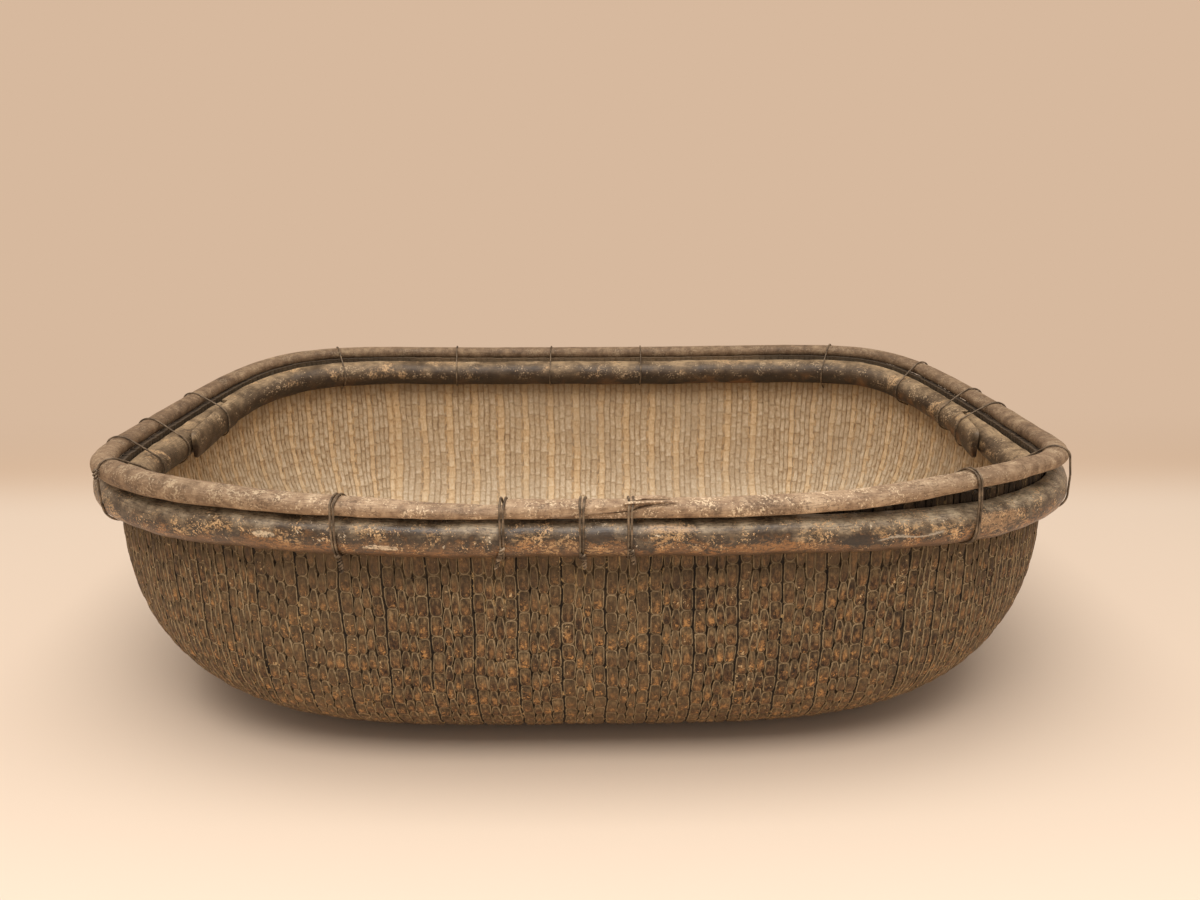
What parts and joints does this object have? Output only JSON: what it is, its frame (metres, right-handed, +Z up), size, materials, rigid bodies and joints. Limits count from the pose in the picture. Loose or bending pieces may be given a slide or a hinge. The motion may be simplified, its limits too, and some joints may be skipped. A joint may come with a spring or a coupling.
{
  "type": "harvest basket",
  "caption": "Shallow rounded-rectangular harvest basket of woven willow rods, its rim bound between bent wooden hoops by wire ties, standing on a flat woven floor.",
  "frame": {"origin": "middle of the flat underside, where the basket stands", "axes": "+X along the basket's length, +Y away from the front, where the top hoop is lapped, +Z up"},
  "size_m": [0.7225, 0.5066, 0.203],
  "materials": {
    "willow": "weathered willow bark, matt with a worn sheen",
    "hoop_pole": "dark handled patina with worn tan patches",
    "top_pole": "dry grey-tan wood, flecked",
    "tie_wire": "dull rusted iron wire"
  },
  "bodies": {
    "root": {"willow_strake_1": "willow", "willow_strake_2": "willow", "willow_strake_3": "willow", "willow_strake_4": "willow", "willow_strake_5": "willow", "willow_strake_6": "willow", "willow_strake_7": "willow", "willow_strake_8": "willow", "willow_strake_9": "willow", "willow_strake_10": "willow", "willow_strake_11": "willow", "willow_strake_12": "willow", "willow_strake_13": "willow", "willow_strake_14": "willow", "willow_strake_15": "willow", "willow_left_bundle_1": "willow", "willow_left_bundle_2": "willow", "willow_left_bundle_3": "willow", "willow_left_bundle_4": "willow", "willow_left_bundle_5": "willow", "willow_left_bundle_6": "willow", "willow_left_bundle_7": "willow", "willow_left_bundle_8": "willow", "willow_left_bundle_9": "willow", "willow_right_bundle_1": "willow", "willow_right_bundle_2": "willow", "willow_right_bundle_3": "willow", "willow_right_bundle_4": "willow", "willow_right_bundle_5": "willow", "willow_right_bundle_6": "willow", "willow_right_bundle_7": "willow", "willow_right_bundle_8": "willow", "willow_right_bundle_9": "willow", "outer_hoop": "hoop_pole", "inner_hoop_front": "hoop_pole", "inner_hoop_back": "hoop_pole", "top_hoop": "top_pole", "tie_front_1": "tie_wire", "tie_front_2": "tie_wire", "tie_front_3": "tie_wire", "tie_front_4": "tie_wire", "tie_right_1": "tie_wire", "tie_right_2": "tie_wire", "tie_right_3": "tie_wire", "tie_right_4": "tie_wire", "tie_right_5": "tie_wire", "tie_right_6": "tie_wire", "tie_back_1": "tie_wire", "tie_back_2": "tie_wire", "tie_back_3": "tie_wire", "tie_left_1": "tie_wire", "tie_left_2": "tie_wire", "tie_left_3": "tie_wire", "tie_left_4": "tie_wire", "tie_left_5": "tie_wire"}
  },
  "joints": []
}
